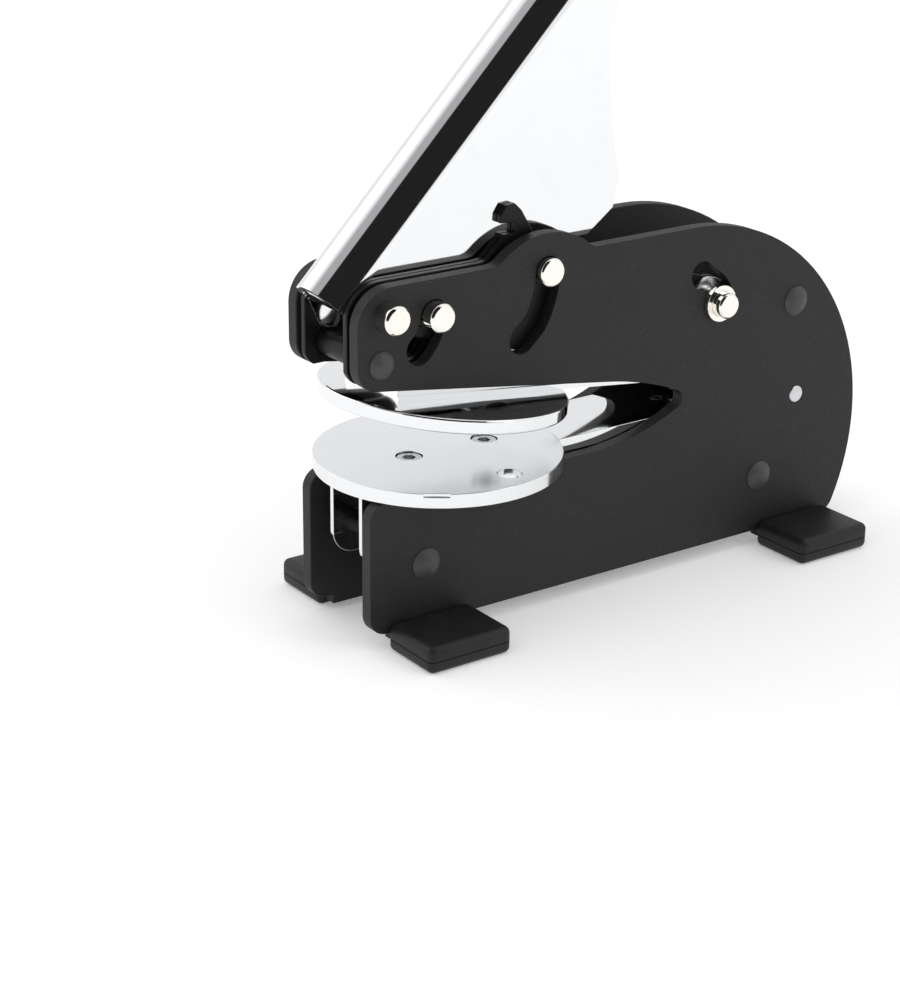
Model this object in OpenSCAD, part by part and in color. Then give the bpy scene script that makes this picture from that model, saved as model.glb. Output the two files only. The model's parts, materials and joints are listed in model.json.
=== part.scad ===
// Desk seal embosser: two die plates between a pair of side plates, closed by a long hand lever.
// X runs across the body, Y to the rear and Z up. Y is 0 at the front of the lower jaw while the parts are drawn.

/* [Body] */
// Width over the two side plates
body_w = 25.5; // [25:0.5:32]
// Length from the front of the lower jaw to the rear of the side plates
body_l = 132; // [128:1:150]
// Height of the side plates' top edge above the floor
body_h = 76.3; // [75:0.5:82]
// Thickness of a side plate
side_plate_t = 3; // [2.5:0.1:3.2]
// Height of the lower jaw's top edge, as a share of the body's height
lower_jaw_share = 0.4194; // [0.4:0.005:0.43]
// Depth of the upper jaw at its front, as a share of the body's height
upper_jaw_share = 0.2713; // [0.265:0.001:0.28]
// Height of the side plates' bottom edge above the floor
floor_gap = 3.5; // [3:0.1:5]

/* [Dies] */
// Diameter of both die plates
die_d = 52; // [44:1:56]
// Thickness of a die plate
die_t = 3; // [2.5:0.1:3.2]
// Distance from the front of the lower jaw to the middle of the die plates
die_y = 25.24; // [24:0.1:30]
// Gap between the die plates when they are closed
die_gap = 0.4; // [0.3:0.05:1]
// Thickness of the upper die arm
upper_arm_t = 2.5; // [2:0.1:2.6]
// Depth of the channel under the lower die
channel_depth = 17.2; // [14:0.1:20]

/* [Lever] */
// Distance from the pivot pin to the end of the grip
lever_reach = 165; // [140:1:200]
// Turn of the lever from rest to closed
lever_travel = 39; // [34:0.5:39]
// Angle of the lever above the floor at rest
lever_rise = 45.4; // [44:0.1:47]
// Thickness of the lever's sheet
lever_sheet_t = 1.2; // [1:0.1:1.4]
// Diameter of the grip
grip_d = 21; // [20:0.5:24]
// Length of the grip
grip_l = 66; // [50:1:75]

/* [Links] */
// Thickness of a press plate
press_plate_t = 1.2; // [1:0.1:1.3]
// Thickness of a hook or liner plate and of the rear links, which lie in the same layer
hook_plate_t = 1.4; // [1.2:0.1:1.6]
// Free play between neighbouring plates
layer_gap = 0.1; // [0.08:0.01:0.15]
// Turn of the press plates from rest to closed
press_turn = 7.5; // [7:0.1:8]
// Turn of the rear links from rest to closed
rear_turn = 17; // [15:0.1:18]

/* [Pins] */
// Diameter of the pivot pin, the link pin and the guide studs
pin_d = 6; // [5:0.1:6.2]
// Diameter of the rear studs
rear_stud_d = 5.6; // [5:0.1:6]
// Diameter of the spacers between the side plates
spacer_d = 5.5; // [4.5:0.1:5.8]
// Diameter of the die hinge pin
hinge_pin_d = 4; // [3:0.1:5]
// Diameter of the bar between the press plates
press_bar_d = 5; // [4:0.1:5.5]
// Length of the pivot pin beyond a side plate
pivot_proud = 4.2; // [3:0.1:6]
// Length of the link pin beyond a side plate
link_proud = 3.4; // [3:0.1:5]
// Length of a guide stud beyond a side plate
guide_proud = 1.8; // [1:0.1:3]
// Length of a rear stud beyond a side plate
rear_proud = 3.6; // [2.5:0.1:5]

/* [Feet] */
// Length of a foot along the body
foot_l = 20.1; // [16:0.1:24]
// Reach of a foot beyond a side plate
foot_w = 15.5; // [12:0.5:20]
// Height of a foot
foot_h = 5.9; // [5.5:0.1:7]

/* [Hidden] */
$fn = 48;
SEAT = 0.05;       // radial play of a turning fit
SLOT_PLAY = 0.15;  // play on each side of a pin in a slot
CLEAR = 0.4;       // room round a piece that passes another
JAW_SLOPE = 8.53;  // slope of the upper jaw's lower edge

// Layers across the body, from the outer face of a side plate inwards
side_out = body_w / 2;
side_in = side_out - side_plate_t;
press_out = side_in - layer_gap;
press_in = press_out - press_plate_t;
hook_out = press_in - layer_gap;
hook_in = hook_out - hook_plate_t;
cheek_out = hook_in - layer_gap;
cheek_in = cheek_out - lever_sheet_t;
arm_half = side_in - 0.25;
channel_half = 5.9;
channel_sheet_t = 1.1;

// The jaws
lower_jaw_h = lower_jaw_share * body_h;
upper_jaw_d = upper_jaw_share * body_h;

// Pins at rest, as [y, z]
pivot = [4.1, body_h - 0.28 * upper_jaw_d];
link_pin_at = pivot + upper_jaw_d * [0.536, -0.0725];
guide_at = pivot + [39, 3];
rear_at = pivot + [85.3, -11.2];
front_upper_at = pivot + [-1.3, -0.4686 * upper_jaw_d];
front_lower_at = [13.6, lower_jaw_h - 15.3];
rear_upper_at = [body_l - 20, body_h - 20.3];
rear_lower_at = [body_l - 28, lower_jaw_h - 15.3];

// Heights of the dies when closed
lower_die_z = lower_jaw_h + 0.2;
lower_die_top = lower_die_z + die_t;
upper_die_z = lower_die_top + die_gap;
upper_arm_z = upper_die_z + die_t;
upper_arm_top = upper_arm_z + upper_arm_t;
hinge_at = [body_l - 18, lower_jaw_h + 2];
knuckle_r = min(4, upper_arm_z - hinge_at[1] - 0.5);
arm_front_y = die_y - 17.8;

// Plane geometry, all on [y, z] points
function turned(v, a) = [v[0] * cos(a) - v[1] * sin(a), v[0] * sin(a) + v[1] * cos(a)];
function polar(c, r, a) = c + [r * cos(a), r * sin(a)];
function arc(c, r, a0, a1, steps = 12) = [for (i = [0:steps]) polar(c, r, a0 + (a1 - a0) * i / steps)];
function angle_of(v) = atan2(v[1], v[0]);
// The outline without points that lie on the one before them
function without_repeats(points) =
    [for (i = [0:len(points) - 1]) if (norm(points[i] - points[(i + 1) % len(points)]) > 0.01) points[i]];
// The point on the rear side that is r1 from c1 and r2 from c2
function meet(c1, r1, c2, r2) =
    let (v = c2 - c1, d = norm(v), a = (r1 * r1 - r2 * r2 + d * d) / (2 * d), h = sqrt(r1 * r1 - a * a), u = v / d)
    c1 + a * u + h * [u[1], -u[0]];
function circle_centre(a, b, c) =
    let (d = 2 * (a[0] * (b[1] - c[1]) + b[0] * (c[1] - a[1]) + c[0] * (a[1] - b[1])))
    [(a * a) * (b[1] - c[1]) + (b * b) * (c[1] - a[1]) + (c * c) * (a[1] - b[1]),
     (a * a) * (c[0] - b[0]) + (b * b) * (a[0] - c[0]) + (c * c) * (b[0] - a[0])] / d;

// Places during the stroke, where t is 0 at rest and 1 when closed
function link_pin_path(t) = pivot + turned(link_pin_at - pivot, -lever_travel * t);
function on_press_plate(p, t) = link_pin_path(t) + turned(p - link_pin_at, -press_turn * t);
function guide_path(t) = on_press_plate(guide_at, t);
function rear_path(t) = guide_path(t) + turned(rear_at - guide_at, rear_turn * t);
function on_closed_arm(p, t) = hinge_at + turned(p - hinge_at, die_opening * (1 - t));

// The press lobe rests on the upper die arm, and has pushed it down flat when the dies are closed.
// The angle between the arms at rest follows from that.
lobe_r = 4.5;
lobe_y = 36.55;
lobe_closed_z = upper_arm_top + lobe_r;
lobe_drop = lobe_closed_z - link_pin_path(1)[1];
lobe_at = [lobe_y, link_pin_at[1] + (lobe_drop + (lobe_y - link_pin_at[0]) * sin(press_turn)) / cos(press_turn)];
die_opening = acos((lobe_closed_z - hinge_at[1]) / norm(lobe_at - hinge_at)) + 90 - angle_of(lobe_at - hinge_at);
echo(die_opening = die_opening);
function lobe_on_arm(t) = on_closed_arm(on_press_plate(lobe_at, t), t);

// Paths of the pins' slots; two of them run on past the end of the stroke
STEPS = 6;
stroke = [for (i = [0:STEPS]) i / STEPS];
link_slot = [for (t = stroke) link_pin_path(t)];
guide_slot = concat([for (t = stroke) guide_path(t)], [guide_at + [-6.3, -13.3]]);
rear_slot = concat([for (t = stroke) rear_path(t)], [rear_at + [-5, 6.9]]);

// Points round a slot: the path widened by r on each side, with round ends.
// Where the path turns to the left about as tightly as the slot is wide, its first k steps get one straight left side.
function heading(path, i) = angle_of(path[min(i + 1, len(path) - 1)] - path[max(i - 1, 0)]);
function slot_points(path, r, k = 0) =
    let (n = len(path) - 1,
         inner = k > 0 ? angle_of(path[k] - path[0]) : heading(path, 0),
         next = k > 0 ? angle_of(path[k + 1] - path[k]) : 0)
    without_repeats(concat(
        [for (i = [0:n]) polar(path[i], r, heading(path, i) - 90)],
        arc(path[n], r, heading(path, n) - 90, heading(path, n) + 90),
        [for (i = [n:-1:k + 1]) polar(path[i], r, heading(path, i) + 90)],
        k > 0 ? [polar(path[k], r / cos((next - inner) / 2), (next + inner) / 2 + 90)] : [],
        arc(path[0], r, inner + 90, heading(path, 0) + 270)
    ));

// Side plate outline
jaw_r = 4;
jaw_nose_r = 5;
jaw_nose_y = -2.7;
top_r = 8;
bump_r = 17.4;
bump_at = pivot + [38.8, -6.5];
rear_r = 50;
rear_top = body_h + 0.5;
rear_centre = [body_l - rear_r, rear_top - rear_r];
heel_r = 4;
heel_rise = rear_centre[1] - floor_gap - heel_r;
heel_angle = -asin(heel_rise / (rear_r - heel_r));
heel_centre = polar(rear_centre, rear_r - heel_r, heel_angle);
blend_r = 4;
front_blend = [bump_at[0] - sqrt(pow(bump_r + blend_r, 2) - pow(body_h + blend_r - bump_at[1], 2)),
               body_h + blend_r];
back_blend = [bump_at[0] + sqrt(pow(bump_r + blend_r, 2) - pow(rear_top + blend_r - bump_at[1], 2)),
              rear_top + blend_r];
function jaw_edge(y) = body_h - upper_jaw_d - (y - 1.9) * tan(JAW_SLOPE);
jaw_nose = [jaw_nose_y + jaw_nose_r, jaw_edge(jaw_nose_y + jaw_nose_r) + jaw_nose_r / cos(JAW_SLOPE)];
upper_throat_r = 77;
upper_throat_y = 60;
upper_throat_c = polar([upper_throat_y, jaw_edge(upper_throat_y)], upper_throat_r, -90 - JAW_SLOPE);
lower_throat_r = 54.2;
lower_throat_c = [55, lower_jaw_h + lower_throat_r];
throat_end_r = 2.1;
throat_end = meet(upper_throat_c, upper_throat_r - throat_end_r, lower_throat_c, lower_throat_r - throat_end_r);
upper_meet = angle_of(throat_end - upper_throat_c);
lower_meet = angle_of(throat_end - lower_throat_c);

side_outline = without_repeats(concat(
    arc([jaw_r, floor_gap + jaw_r], jaw_r, 180, 270),
    arc(heel_centre, heel_r, -90, heel_angle),
    arc(rear_centre, rear_r, heel_angle, 90, 36),
    arc(back_blend, blend_r, 270, angle_of(bump_at - back_blend)  + 360, 6),
    arc(bump_at, bump_r, angle_of(back_blend - bump_at), angle_of(front_blend - bump_at), 20),
    arc(front_blend, blend_r, angle_of(bump_at - front_blend), -90, 6),
    arc([jaw_nose_y + top_r, body_h - top_r], top_r, 90, 180),
    arc(jaw_nose, jaw_nose_r, 180, 270 - JAW_SLOPE),
    arc(upper_throat_c, upper_throat_r, 90 - JAW_SLOPE, upper_meet),
    arc(throat_end, throat_end_r, upper_meet, lower_meet),
    arc(lower_throat_c, lower_throat_r, lower_meet, -90),
    arc([jaw_r, lower_jaw_h - jaw_r], jaw_r, 90, 180)
));

// Foot tabs, bent outwards from the side plates
tab_z = (foot_h - side_plate_t) / 2;
tab_wall = 1.5;
front_foot_y = 4;
rear_foot_y = body_l - 8 - foot_l;
foot_places = [front_foot_y, rear_foot_y];

// Rivets, screws and holes
rivet_shank_r = 1.5;
rivet_depth = 3;
rivet_rise = 1.5;
spacer_places = [front_upper_at, front_lower_at, rear_upper_at, rear_lower_at];
rivet_heads = [3, 3.5, 3.5, 3.5];
die_screw_ys = [die_y - 7.24, die_y + 11.76];
screw_head_r = 2.6;
screw_head_h = 1.6;
screw_recess = 0.3;
screw_hole_play = 0.25;
screw_socket_r = 1.45;
screw_socket_depth = 1.1;
screw_r = 1.7;
arm_rivet_ys = [hinge_at[0] - 30, hinge_at[0] - 15];
bracket_rivet_ys = [die_y - 13.2, die_y - 1.4];
bracket_y = [die_y - 15.7, die_y + 1.1];
bracket_t = 2.6;

// Lever coordinates: along runs from the pivot to the grip, deep runs from the spine to the open side
lever_along = [cos(lever_rise), sin(lever_rise)];
lever_deep = [sin(lever_rise), -cos(lever_rise)];
function on_lever(along, deep) = pivot + along * lever_along + deep * lever_deep;
spine_deep = -11;
crown_deep = spine_deep + cheek_out;
lever_start = -4.5;
neck_depth = 9;
neck_from = 94;
grip_from = lever_reach - grip_l;
grip_deep = spine_deep + neck_depth / 2 + 0.3;
neck_to = lever_reach - 12;
grip_pin_along = grip_from + 8;
grip_pin_r = 1.5;
grip_pin_half = grip_d / 2 - 1.3;

// Points across the body, drawn on the [y, z] plane and given thickness along X
module sheet(x0, x1) {
    translate([x0, 0, 0]) rotate([90, 0, 90]) linear_extrude(x1 - x0) children();
}

// The same sheet on the right (side = 1) or on the left (side = -1)
module side_sheet(side, x0, x1) {
    sheet(min(side * x0, side * x1), max(side * x0, side * x1)) children();
}

module disc_at(p, r) {
    translate(p) circle(r);
}

// Outline that runs r outside points given counter-clockwise, with round corners
function corner_arc(points, r, i) =
    let (n = len(points),
         into = angle_of(points[i] - points[(i + n - 1) % n]),
         out = angle_of(points[(i + 1) % n] - points[i]))
    arc(points[i], r, into - 90, into - 90 + (out - into + 720) % 360);
module plate_round(points, r) {
    polygon([for (i = [0:len(points) - 1]) each corner_arc(points, r, i)]);
}

module slot_cut(path, r, k = 0) {
    polygon(slot_points(path, r, k));
}

// A round rod along X with chamfered ends
module rod(p, r, x0, x1, chamfer = 0.3) {
    translate([x0, p[0], p[1]]) rotate([0, 90, 0]) rotate_extrude()
        polygon([[0, 0], [r - chamfer, 0], [r, chamfer], [r, x1 - x0 - chamfer], [r - chamfer, x1 - x0], [0, x1 - x0]]);
}

// A block with round edges, from its lowest corner
module round_block(size, r) {
    intersection() {
        linear_extrude(size[2]) round_rect([size[0], size[1]], r);
        translate([0, size[1], 0]) rotate([90, 0, 0]) linear_extrude(size[1]) round_rect([size[0], size[2]], r * 0.7);
        rotate([90, 0, 90]) linear_extrude(size[0]) round_rect([size[1], size[2]], r * 0.7);
    }
}

module round_rect(size, r) {
    translate([r, 0]) square([size[0] - 2 * r, size[1]]);
    translate([0, r]) square([size[0], size[1] - 2 * r]);
    for (x = [r, size[0] - r], y = [r, size[1] - r]) translate([x, y]) circle(r);
}

// The upper die and its arm are drawn closed and then opened about the hinge
module opened() {
    translate([0, hinge_at[0], hinge_at[1]]) rotate([-die_opening, 0, 0])
        translate([0, -hinge_at[0], -hinge_at[1]]) children();
}

module side_plate(side) {
    side_sheet(side, side_in, side_out) difference() {
        union() {
            polygon(side_outline);
            for (y = foot_places) translate([y + tab_wall, tab_z]) square([foot_l - 2 * tab_wall, 12]);
        }
        disc_at(pivot, pin_d / 2);
        disc_at(hinge_at, hinge_pin_d / 2);
        for (p = spacer_places) disc_at(p, rivet_shank_r);
        slot_cut(link_slot, pin_d / 2 + SLOT_PLAY);
        slot_cut(guide_slot, pin_d / 2 + SLOT_PLAY);
        slot_cut(rear_slot, rear_stud_d / 2 + SLOT_PLAY, STEPS);
    }
    for (y = foot_places)
        translate([side > 0 ? side_in : -side_out - foot_w + tab_wall, y + tab_wall, tab_z])
            cube([foot_w + side_plate_t - tab_wall, foot_l - 2 * tab_wall, side_plate_t]);
}

module right_side_plate() {
    color("#3d3f41") side_plate(1);
}

module left_side_plate() {
    color("#3d3f41") side_plate(-1);
}

// Outline of the plates that line the upper jaw: level with the side plates on top and at the front.
// They end in front of the rear links' eyes.
liner_inset = 0.3;
liner_end = guide_at[0] - 9.5;
module liner_outline() {
    intersection() {
        polygon(side_outline);
        translate([jaw_nose_y + liner_inset, jaw_edge(0) + 0.5]) square([liner_end - jaw_nose_y, body_h]);
    }
}

module liner_cuts() {
    disc_at(pivot, pin_d / 2);
    disc_at(front_upper_at, spacer_d / 2 + SEAT);
    slot_cut(link_slot, pin_d / 2 + CLEAR);
}

// The catch stands above the bump, with its notch open to the front, and arches over the rear link's eye
catch_at = pivot + [26, 4.2];
rear_link_r = 4.5;
module catch_shape() {
    polygon([for (p = [[-3, -6], [9, -6], [14, 1], [11.9, 6.8], [9.3, 11], [7.6, 12.6], [5.4, 12.4], [4.1, 10.5],
                       [4, 8.9], [7.7, 8.7], [7.7, 6.5], [4.8, 6.5], [4.5, 5.5], [0, 1.4]])
             catch_at + p]);
}

module right_hook_plate() {
    color("#17181a") side_sheet(1, hook_in, hook_out) difference() {
        union() {
            liner_outline();
            catch_shape();
        }
        liner_cuts();
        slot_cut([for (t = stroke) guide_path(t)], rear_link_r + CLEAR);
    }
}

module left_liner_plate() {
    color("#17181a") side_sheet(-1, hook_in, hook_out) difference() {
        liner_outline();
        liner_cuts();
    }
}

module spacer(p) {
    color("#1d1e20") difference() {
        rod(p, spacer_d / 2, -side_in, side_in, 0.2);
        for (side = [-1, 1])
            translate([side * (side_in - rivet_depth / 2), p[0], p[1]]) rotate([0, 90, 0])
                cylinder(r = rivet_shank_r, h = rivet_depth, center = true);
    }
}

module front_upper_spacer() {
    spacer(front_upper_at);
}

module front_lower_spacer() {
    spacer(front_lower_at);
}

module rear_upper_spacer() {
    spacer(rear_upper_at);
}

module rear_lower_spacer() {
    spacer(rear_lower_at);
}

module dome(r, h) {
    ball = (r * r + h * h) / (2 * h);
    intersection() {
        translate([0, 0, h - ball]) sphere(ball);
        cylinder(r = r, h = h);
    }
}

module domed_rivets() {
    color("#3d3f41")
        for (i = [0:3], side = [-1, 1])
            translate([side * side_out, spacer_places[i][0], spacer_places[i][1]]) rotate([0, side * 90, 0]) {
                dome(rivet_heads[i], rivet_rise);
                translate([0, 0, -side_plate_t - rivet_depth])
                    cylinder(r = rivet_shank_r, h = side_plate_t + rivet_depth);
            }
}

module handle_pivot_pin() {
    color("#e8e6df") rod(pivot, pin_d / 2, -side_out - pivot_proud, side_out + pivot_proud, 0.5);
}

module foot(side, y) {
    boot_x = side_out + 0.15;
    color("#232323") difference() {
        translate([side > 0 ? boot_x : -boot_x - foot_w, y, 0]) round_block([foot_w, foot_l, foot_h], 2);
        translate([side > 0 ? side_in : -side_out - foot_w + tab_wall, y + tab_wall, tab_z])
            cube([foot_w + side_plate_t - tab_wall, foot_l - 2 * tab_wall, side_plate_t]);
    }
}

module front_right_foot() {
    foot(1, front_foot_y);
}

module front_left_foot() {
    foot(-1, front_foot_y);
}

module rear_right_foot() {
    foot(1, rear_foot_y);
}

module rear_left_foot() {
    foot(-1, rear_foot_y);
}

channel_front = 2.5;
channel_rear = rear_lower_at[0] + 5;
channel_low = lower_die_z - channel_depth;
module channel_side() {
    corner_r = 5;
    difference() {
        union() {
            translate([channel_front, channel_low + corner_r])
                square([channel_rear - channel_front, channel_depth - corner_r]);
            translate([channel_front + corner_r, channel_low])
                square([channel_rear - channel_front - corner_r, channel_depth]);
            disc_at([channel_front + corner_r, channel_low + corner_r], corner_r);
        }
        for (p = [front_lower_at, rear_lower_at]) {
            disc_at(p, spacer_d / 2 + SEAT);
            translate([p[0] - spacer_d / 2 - SEAT, channel_low - 10]) square([spacer_d + 2 * SEAT, p[1] - channel_low + 10]);
        }
    }
}

module lower_die_channel() {
    color("#d9dbdd") difference() {
        union() {
            for (side = [-1, 1]) side_sheet(side, channel_half - channel_sheet_t, channel_half) channel_side();
            translate([-channel_half, channel_front, lower_die_z - channel_sheet_t])
                cube([2 * channel_half, channel_rear - channel_front, channel_sheet_t]);
        }
        for (y = die_screw_ys) translate([0, y, channel_low]) cylinder(r = screw_r, h = channel_depth + 1);
        for (y = arm_rivet_ys) translate([0, y, channel_low]) cylinder(r = rivet_shank_r, h = channel_depth + 1);
    }
}

ear_t = 2;
ear_in = arm_half - ear_t;
arm_end_y = hinge_at[0] - knuckle_r - 1;
module lower_die_arm() {
    color("#d9dbdd") difference() {
        union() {
            difference() {
                translate([-arm_half, die_y, lower_die_z]) cube([2 * arm_half, arm_end_y - die_y, die_t]);
                translate([0, die_y, lower_die_z - 1]) cylinder(d = die_d + 0.2, h = die_t + 2, $fn = 96);
            }
            for (side = [-1, 1]) {
                side_sheet(side, ear_in, arm_half) disc_at(hinge_at, knuckle_r);
                side_sheet(side, ear_in, arm_half) translate([arm_end_y - 1, lower_die_z])
                    square([hinge_at[0] - arm_end_y + 1, die_t]);
            }
        }
        rod(hinge_at, hinge_pin_d / 2, -side_out, side_out, 0);
        for (y = arm_rivet_ys) translate([0, y, lower_die_z - 1]) cylinder(r = rivet_shank_r, h = die_t + 2);
    }
}

// A die plate with its two counterbored screw holes; face is 1 when the screw heads are on top
module die_blank(z, face) {
    head_z = face > 0 ? z + die_t - screw_head_h - screw_recess : z - 1;
    difference() {
        translate([0, die_y, z]) cylinder(d = die_d, h = die_t, $fn = 120);
        for (y = die_screw_ys) {
            translate([0, y, z - 1]) cylinder(r = screw_r, h = die_t + 2);
            translate([0, y, head_z]) cylinder(r = screw_head_r + screw_hole_play, h = screw_head_h + screw_recess + 1);
        }
    }
}

module lower_die_plate() {
    locating_hole_r = 2.6;
    notch_w = 5.3;
    notch_h = 0.7;
    notch_depth = 0.5;
    hole_angle = 11;
    notch_angle = -35.4;
    hole_at = polar([0, die_y], die_d / 2 - 5.9, hole_angle);
    color("#d9dbdd") difference() {
        die_blank(lower_die_z, 1);
        translate([hole_at[0], hole_at[1], lower_die_z - 1]) cylinder(r = locating_hole_r, h = die_t + 2);
        translate([0, die_y, lower_die_top - notch_h]) rotate(notch_angle)
            translate([die_d / 2 - notch_depth, -notch_w / 2, 0]) cube([notch_depth + 1, notch_w, notch_h + 1]);
    }
}

// A screw with a hexagon socket in its flat head, head up
module die_screw(shank_l) {
    difference() {
        union() {
            translate([0, 0, -screw_head_h]) cylinder(r = screw_head_r, h = screw_head_h);
            translate([0, 0, -screw_head_h - shank_l]) cylinder(r = screw_r, h = shank_l + 0.1);
        }
        translate([0, 0, -screw_socket_depth]) cylinder(r = screw_socket_r, h = screw_socket_depth + 1, $fn = 6);
    }
}

module lower_die_screws() {
    color("#b9bcc0") for (y = die_screw_ys)
        translate([0, y, lower_die_top - screw_recess])
            die_screw(die_t - screw_recess - screw_head_h + channel_sheet_t + 1);
}

module lower_arm_rivets() {
    color("#b9bcc0") for (y = arm_rivet_ys) {
        translate([0, y, lower_die_z - channel_sheet_t - 1]) cylinder(r = rivet_shank_r, h = die_t + channel_sheet_t + 1);
        translate([0, y, lower_die_z - channel_sheet_t - 1]) cylinder(r = rivet_shank_r + 1, h = 1);
    }
}

module die_hinge_pin() {
    color("#b9bcc0") rod(hinge_at, hinge_pin_d / 2, -side_out, side_out, 0.2);
}

// Coil spring between the two arms: one unbroken round wire with closed-up ends
spring_y = hinge_at[0] - 22;
spring_r = 3.6;
spring_wire_r = 0.35;
spring_turns = 3.5;
spring_base = lower_die_top;
spring_height = upper_arm_z - lower_die_top + (hinge_at[0] - spring_y - spring_r) * tan(die_opening) - 0.3;
spring_rise = spring_height - 2 * spring_wire_r;
spring_steps = 28;
wire_sides = 6;
function spring_point(i) =
    let (a = 360 * spring_turns * i / spring_steps)
    [spring_r * cos(a), spring_r * sin(a), spring_wire_r + spring_rise * i / spring_steps];
function spring_ring(i) =
    let (a = 360 * spring_turns * i / spring_steps)
    [for (k = [0:wire_sides - 1])
        let (b = 360 * k / wire_sides, out = spring_wire_r * cos(b), up = spring_wire_r * sin(b))
        spring_point(i) + [out * cos(a), out * sin(a), up]];
echo(spring_self_gap = spring_rise / spring_turns - 2 * spring_wire_r);

module die_return_spring() {
    last = spring_steps * wire_sides;
    color("#b9bcc0") translate([0, spring_y, spring_base]) polyhedron(
        points = [for (i = [0:spring_steps]) each spring_ring(i)],
        faces = concat(
            [[for (k = [0:wire_sides - 1]) k]],
            [for (i = [0:spring_steps - 1], k = [0:wire_sides - 1])
                let (n = (k + 1) % wire_sides, a = i * wire_sides, b = a + wire_sides)
                [a + k, b + k, b + n, a + n]],
            [[for (k = [wire_sides - 1:-1:0]) last + k]]
        )
    );
}

// Side view of the lever, with a notch that clears the front upper spacer
lever_outline = [for (p = [
    [lever_start, crown_deep], [-6.6, 1.2], [-7, 5], [-4, 11], [-1.6, 14.6], [1, 16.6], [4.5, 18], [9.3, 18.7], [22.5, 19.8],
    [35, 29.9], [39.7, 32.4], [50.6, 34.2], [56, 31], [62, 22], [74, 8], [neck_from, spine_deep + neck_depth],
    [neck_to, spine_deep + neck_depth], [neck_to, crown_deep]]) on_lever(p[0], p[1])];
function spacer_on_lever(t) = pivot + turned(front_upper_at - pivot, lever_travel * t);
spacer_sweep = [for (t = stroke) spacer_on_lever(t)];

module lever_shape() {
    difference() {
        polygon(lever_outline);
        slot_cut(spacer_sweep, spacer_d / 2 + CLEAR);
    }
}

// Extrudes a section across the lever, with the crown's centre at its origin and Y towards the open side
module along_lever(from, to) {
    start = on_lever(from, crown_deep);
    translate([0, start[0], start[1]]) rotate([lever_rise - 90, 0, 0]) linear_extrude(to - from) children();
}

module arch(r, leg) {
    circle(r);
    translate([-r, 0]) square([2 * r, leg]);
}

// The crown runs on into the cheeks a little
module crown_section() {
    intersection() {
        difference() {
            arch(cheek_out, 1);
            arch(cheek_in, 2);
        }
        translate([-cheek_out - 1, -cheek_out - 1]) square([2 * cheek_out + 2, cheek_out + 2]);
    }
}

module handle_lever() {
    color("#dfe1e3") difference() {
        union() {
            for (side = [-1, 1]) side_sheet(side, cheek_in, cheek_out) lever_shape();
            along_lever(lever_start, neck_to) crown_section();
        }
        rod(pivot, pin_d / 2 + SEAT, -side_out, side_out, 0);
        rod(link_pin_at, pin_d / 2, -side_out, side_out, 0);
        rod(on_lever(grip_pin_along, grip_deep), grip_pin_r, -side_out, side_out, 0);
    }
}

module handle_grip() {
    nose_r = grip_d / 2 - 3;
    mouth_r = grip_d / 2 - 1.5;
    mid = grip_l * 0.55;
    profile = concat([[0, 0], [mouth_r - 1, 0], [mouth_r, 1], [mouth_r, 5], [grip_d / 2 - 0.4, mid * 0.6],
                      [grip_d / 2, mid], [grip_d / 2 - 0.6, grip_l - nose_r - 6]],
                     arc([grip_d / 2 - 1 - nose_r, grip_l - nose_r], nose_r, 0, 90, 8), [[0, grip_l]]);
    start = on_lever(grip_from, grip_deep);
    color("#202123") difference() {
        translate([0, start[0], start[1]]) rotate([lever_rise - 90, 0, 0]) rotate_extrude() polygon(profile);
        along_lever(grip_from - 1, neck_to) arch(cheek_out, neck_depth - cheek_out);
        rod(on_lever(grip_pin_along, grip_deep), grip_pin_r, -grip_d, grip_d, 0);
    }
}

module grip_pin() {
    color("#b9bcc0") rod(on_lever(grip_pin_along, grip_deep), grip_pin_r, -grip_pin_half, grip_pin_half, 0.2);
}

module link_pin() {
    color("#e8e6df") rod(link_pin_at, pin_d / 2, -side_out - link_proud, side_out + link_proud, 0.5);
}

eye_r = 5.5;
module press_plate(side) {
    color("#2b2c2e") side_sheet(side, press_in, press_out) difference() {
        union() {
            plate_round([link_pin_at, lobe_at, guide_at], lobe_r);
            disc_at(link_pin_at, eye_r);
            disc_at(guide_at, eye_r);
        }
        disc_at(link_pin_at, pin_d / 2 + SEAT);
        disc_at(guide_at, pin_d / 2);
        disc_at(lobe_at, press_bar_d / 2);
    }
}

module right_press_plate() {
    press_plate(1);
}

module left_press_plate() {
    press_plate(-1);
}

module guide_studs() {
    color("#e8e6df") {
        rod(guide_at, pin_d / 2, hook_in, side_out + guide_proud, 0.4);
        rod(guide_at, pin_d / 2, -side_out - guide_proud, -hook_in, 0.4);
    }
}

module press_bar() {
    color("#b9bcc0") rod(lobe_at, press_bar_d / 2, -press_out, press_out, 0.2);
}

module rear_link(side) {
    color("#2b2c2e") side_sheet(side, hook_in, hook_out) difference() {
        union() {
            plate_round([guide_at, rear_at], rear_link_r);
            disc_at(rear_at, 5);
        }
        disc_at(guide_at, pin_d / 2 + SEAT);
        disc_at(rear_at, rear_stud_d / 2);
    }
}

module right_rear_link() {
    rear_link(1);
}

module left_rear_link() {
    rear_link(-1);
}

module rear_studs() {
    color("#e8e6df") {
        rod(rear_at, rear_stud_d / 2, hook_in, side_out + rear_proud, 0.4);
        rod(rear_at, rear_stud_d / 2, -side_out - rear_proud, -hook_in, 0.4);
    }
}

ring_t = 1;
ring_rise = 1.2;
module retaining_rings() {
    color("#e8e6df") for (side = [-1, 1])
        side_sheet(side, side_out + 0.1, side_out + 0.1 + ring_t) difference() {
            disc_at(rear_at, rear_stud_d / 2 + ring_rise);
            disc_at(rear_at, rear_stud_d / 2);
        }
}

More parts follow.
